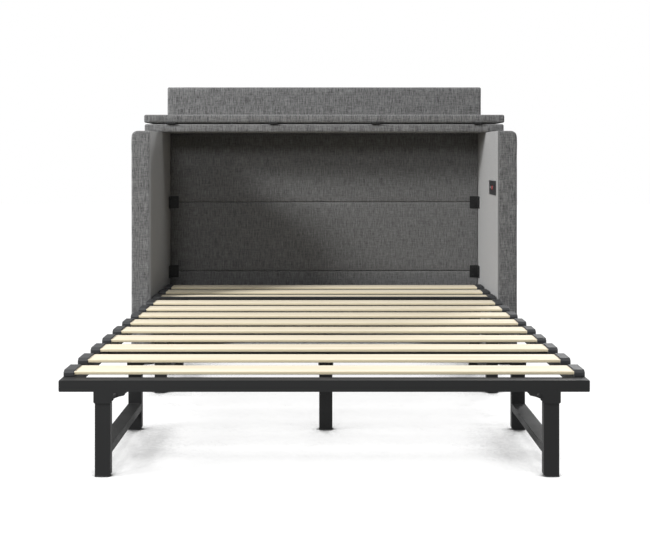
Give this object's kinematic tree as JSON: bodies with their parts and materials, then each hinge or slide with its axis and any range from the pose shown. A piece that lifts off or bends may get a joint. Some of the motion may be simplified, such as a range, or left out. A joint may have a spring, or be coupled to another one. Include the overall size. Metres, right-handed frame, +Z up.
{
  "type": "bed with storage headboard",
  "caption": "Upholstered cabinet headboard with a folding lid and a slatted steel bed frame that folds up into it on hinged sections and folding legs.",
  "frame": {"origin": "on the floor, at the middle of the whole bed's width and length with the lid folded back", "axes": "+Z up, +Y from the foot of the bed towards the headboard, +X to the right seen from the foot"},
  "size_m": [1.765, 2.16, 1.3083],
  "materials": {
    "grey_fabric": "melange linen weave upholstery",
    "grey_lining": "smooth plain lining cloth",
    "black_steel": "satin black powder coat",
    "black_plastic": "fine matt moulded plastic",
    "slat_wood": "pale bent plywood, clear satin"
  },
  "bodies": {
    "cabinet": {"side_panel_left": "grey_fabric", "side_panel_right": "grey_fabric", "side_lining_left": "grey_lining", "side_lining_right": "grey_lining", "back_board_1": "grey_fabric", "back_board_2": "grey_fabric", "back_board_3": "grey_fabric", "corner_plate_left_1": "black_steel", "corner_plate_left_2": "black_steel", "corner_plate_right_1": "black_steel", "corner_plate_right_2": "black_steel", "lid_rear_leaf": "grey_fabric", "lid_hinge_fixed_1": "black_steel", "lid_hinge_fixed_2": "black_steel", "lid_hinge_fixed_3": "black_steel", "lid_hinge_fixed_4": "black_steel", "socket_plate": "black_plastic", "socket_body": "black_plastic", "head_side_rail_left": "black_steel", "head_side_rail_right": "black_steel", "head_bar": "black_steel", "head_cross_back": "black_steel", "slat_10": "slat_wood", "slat_11": "slat_wood", "slat_12": "slat_wood"},
    "lid": {"lid_front_leaf": "grey_fabric", "lid_apron": "grey_fabric", "lid_hinge_moving_1": "black_steel", "lid_hinge_moving_2": "black_steel", "lid_hinge_moving_3": "black_steel", "lid_hinge_moving_4": "black_steel"},
    "middle_section": {"middle_side_rail_left": "black_steel", "middle_side_rail_right": "black_steel", "middle_cross_front": "black_steel", "middle_cross_back": "black_steel", "slat_06": "slat_wood", "slat_07": "slat_wood", "slat_08": "slat_wood", "slat_09": "slat_wood"},
    "link_section": {"link_side_rail_left": "black_steel", "link_side_rail_right": "black_steel", "slat_05": "slat_wood"},
    "foot_section": {"foot_side_rail_left": "black_steel", "foot_side_rail_right": "black_steel", "foot_end_rail": "black_steel", "foot_cross_tube": "black_steel", "slat_01": "slat_wood", "slat_02": "slat_wood", "slat_03": "slat_wood", "slat_04": "slat_wood"},
    "foot_leg_left": {"foot_leg_frame_left": "black_steel"},
    "foot_leg_right": {"foot_leg_frame_right": "black_steel"},
    "middle_leg_left": {"middle_leg_frame_left": "black_steel"},
    "middle_leg_right": {"middle_leg_frame_right": "black_steel"},
    "centre_leg": {"centre_leg": "black_steel"}
  },
  "joints": [
    {"name": "lid_hinge", "type": "hinge", "parent": "cabinet", "child": "lid", "pos_m": [0, 0.7173, 1.1073], "axis": [1, 0, 0], "range_deg": [0, 180]},
    {"name": "middle_fold", "type": "hinge", "parent": "cabinet", "child": "middle_section", "pos_m": [0, 0.418, 0.269], "axis": [-1, 0, 0], "range_deg": [0, 90]},
    {"name": "link_fold", "type": "hinge", "parent": "middle_section", "child": "link_section", "pos_m": [0, -0.271, 0.269], "axis": [-1, 0, 0], "range_deg": [0, 90]},
    {"name": "foot_fold", "type": "hinge", "parent": "link_section", "child": "foot_section", "pos_m": [0, -0.434, 0.269], "axis": [-1, 0, 0], "range_deg": [0, 90]},
    {"name": "foot_leg_left_fold", "type": "hinge", "parent": "foot_section", "child": "foot_leg_left", "pos_m": [-0.6185, -0.83, 0.242], "axis": [0, -1, 0], "range_deg": [0, 90]},
    {"name": "foot_leg_right_fold", "type": "hinge", "parent": "foot_section", "child": "foot_leg_right", "pos_m": [0.6355, -0.83, 0.242], "axis": [0, 1, 0], "range_deg": [0, 90]},
    {"name": "middle_leg_left_fold", "type": "hinge", "parent": "middle_section", "child": "middle_leg_left", "pos_m": [-0.6185, 0.137, 0.242], "axis": [0, -1, 0], "range_deg": [0, 90]},
    {"name": "middle_leg_right_fold", "type": "hinge", "parent": "middle_section", "child": "middle_leg_right", "pos_m": [0.6355, 0.137, 0.242], "axis": [0, 1, 0], "range_deg": [0, 90]},
    {"name": "centre_leg_fold", "type": "hinge", "parent": "foot_section", "child": "centre_leg", "pos_m": [0, -0.614, 0.242], "axis": [-1, 0, 0], "range_deg": [0, 90]}
  ]
}
